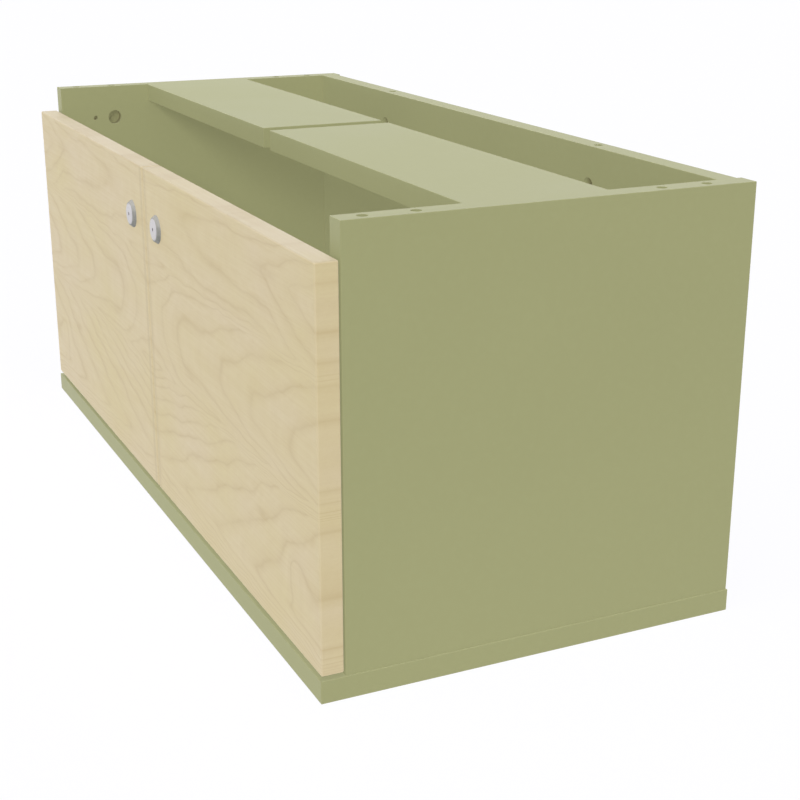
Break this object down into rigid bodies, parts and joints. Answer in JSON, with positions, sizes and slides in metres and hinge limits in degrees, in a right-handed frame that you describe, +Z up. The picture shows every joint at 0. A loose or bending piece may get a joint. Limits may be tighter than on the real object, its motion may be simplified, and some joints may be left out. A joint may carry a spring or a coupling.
{
  "type": "two-door cabinet module",
  "caption": "Low open-topped cabinet module of sage-green boards with overlay birch doors on concealed hinges, push-button locks and drilled top edges for stacking.",
  "frame": {"origin": "centre of the base board's underside, on the floor", "axes": "+X to the right of someone facing the doors, +Y from the doors to the back, +Z up"},
  "size_m": [0.8, 0.3541, 0.346],
  "materials": {
    "painted_board": "satin sage-green paint on a smooth board",
    "birch_door": "clear matt lacquer on birch",
    "beech": "bare beech",
    "satin_chrome": "satin",
    "die_cast_zinc": "matt zinc grey",
    "plated_steel": "nickel plated"
  },
  "bodies": {
    "carcass": {"base_board": "painted_board", "left_side": "painted_board", "right_side": "painted_board", "back_panel": "painted_board", "left_rail": "painted_board", "right_rail": "painted_board", "rail_tie_plate": "plated_steel", "tie_plate_screws": "plated_steel", "carcass_dowels": "beech", "cam_locks": "die_cast_zinc", "cam_bolts": "plated_steel", "hinge_plate_screws": "plated_steel", "hinge_clamp_screws": "plated_steel", "left_upper_hinge_plate": "plated_steel", "left_upper_hinge_arm": "plated_steel", "left_lower_hinge_plate": "plated_steel", "left_lower_hinge_arm": "plated_steel", "right_upper_hinge_plate": "plated_steel", "right_upper_hinge_arm": "plated_steel", "right_lower_hinge_plate": "plated_steel", "right_lower_hinge_arm": "plated_steel"},
    "left_door": {"left_door": "birch_door", "left_cup_screws": "plated_steel", "left_lock_rosette": "satin_chrome", "left_lock_case": "die_cast_zinc", "left_lock_screws": "plated_steel", "left_upper_hinge_cup": "plated_steel", "left_upper_hinge_pin": "plated_steel", "left_lower_hinge_cup": "plated_steel", "left_lower_hinge_pin": "plated_steel"},
    "left_button": {"left_lock_button": "satin_chrome", "left_lock_drive_pin": "plated_steel"},
    "left_latch": {"left_latch_bolt": "plated_steel"},
    "right_door": {"right_door": "birch_door", "right_cup_screws": "plated_steel", "right_lock_rosette": "satin_chrome", "right_lock_case": "die_cast_zinc", "right_lock_screws": "plated_steel", "right_upper_hinge_cup": "plated_steel", "right_upper_hinge_pin": "plated_steel", "right_lower_hinge_cup": "plated_steel", "right_lower_hinge_pin": "plated_steel"},
    "right_button": {"right_lock_button": "satin_chrome", "right_lock_drive_pin": "plated_steel"},
    "right_latch": {"right_latch_bolt": "plated_steel"}
  },
  "joints": [
    {"name": "left_door_swing", "type": "hinge", "parent": "carcass", "child": "left_door", "pos_m": [-0.3937, -0.168, 0], "axis": [0, 0, -1], "range_deg": [0, 95]},
    {"name": "left_button_slide", "type": "slide", "parent": "left_door", "child": "left_button", "axis": [0, -1, 0], "range_m": [0, 0.01]},
    {"name": "left_latch_slide", "type": "slide", "parent": "left_door", "child": "left_latch", "axis": [0, 0, -1], "range_m": [0, 0.008]},
    {"name": "right_door_swing", "type": "hinge", "parent": "carcass", "child": "right_door", "pos_m": [0.3937, -0.168, 0], "axis": [0, 0, 1], "range_deg": [0, 95]},
    {"name": "right_button_slide", "type": "slide", "parent": "right_door", "child": "right_button", "axis": [0, -1, 0], "range_m": [0, 0.01]},
    {"name": "right_latch_slide", "type": "slide", "parent": "right_door", "child": "right_latch", "axis": [0, 0, -1], "range_m": [0, 0.008]}
  ],
  "couplings": [
    {"joint": "left_latch_slide", "follows": "left_button_slide", "ratio": 0.8},
    {"joint": "right_latch_slide", "follows": "right_button_slide", "ratio": 0.8}
  ]
}
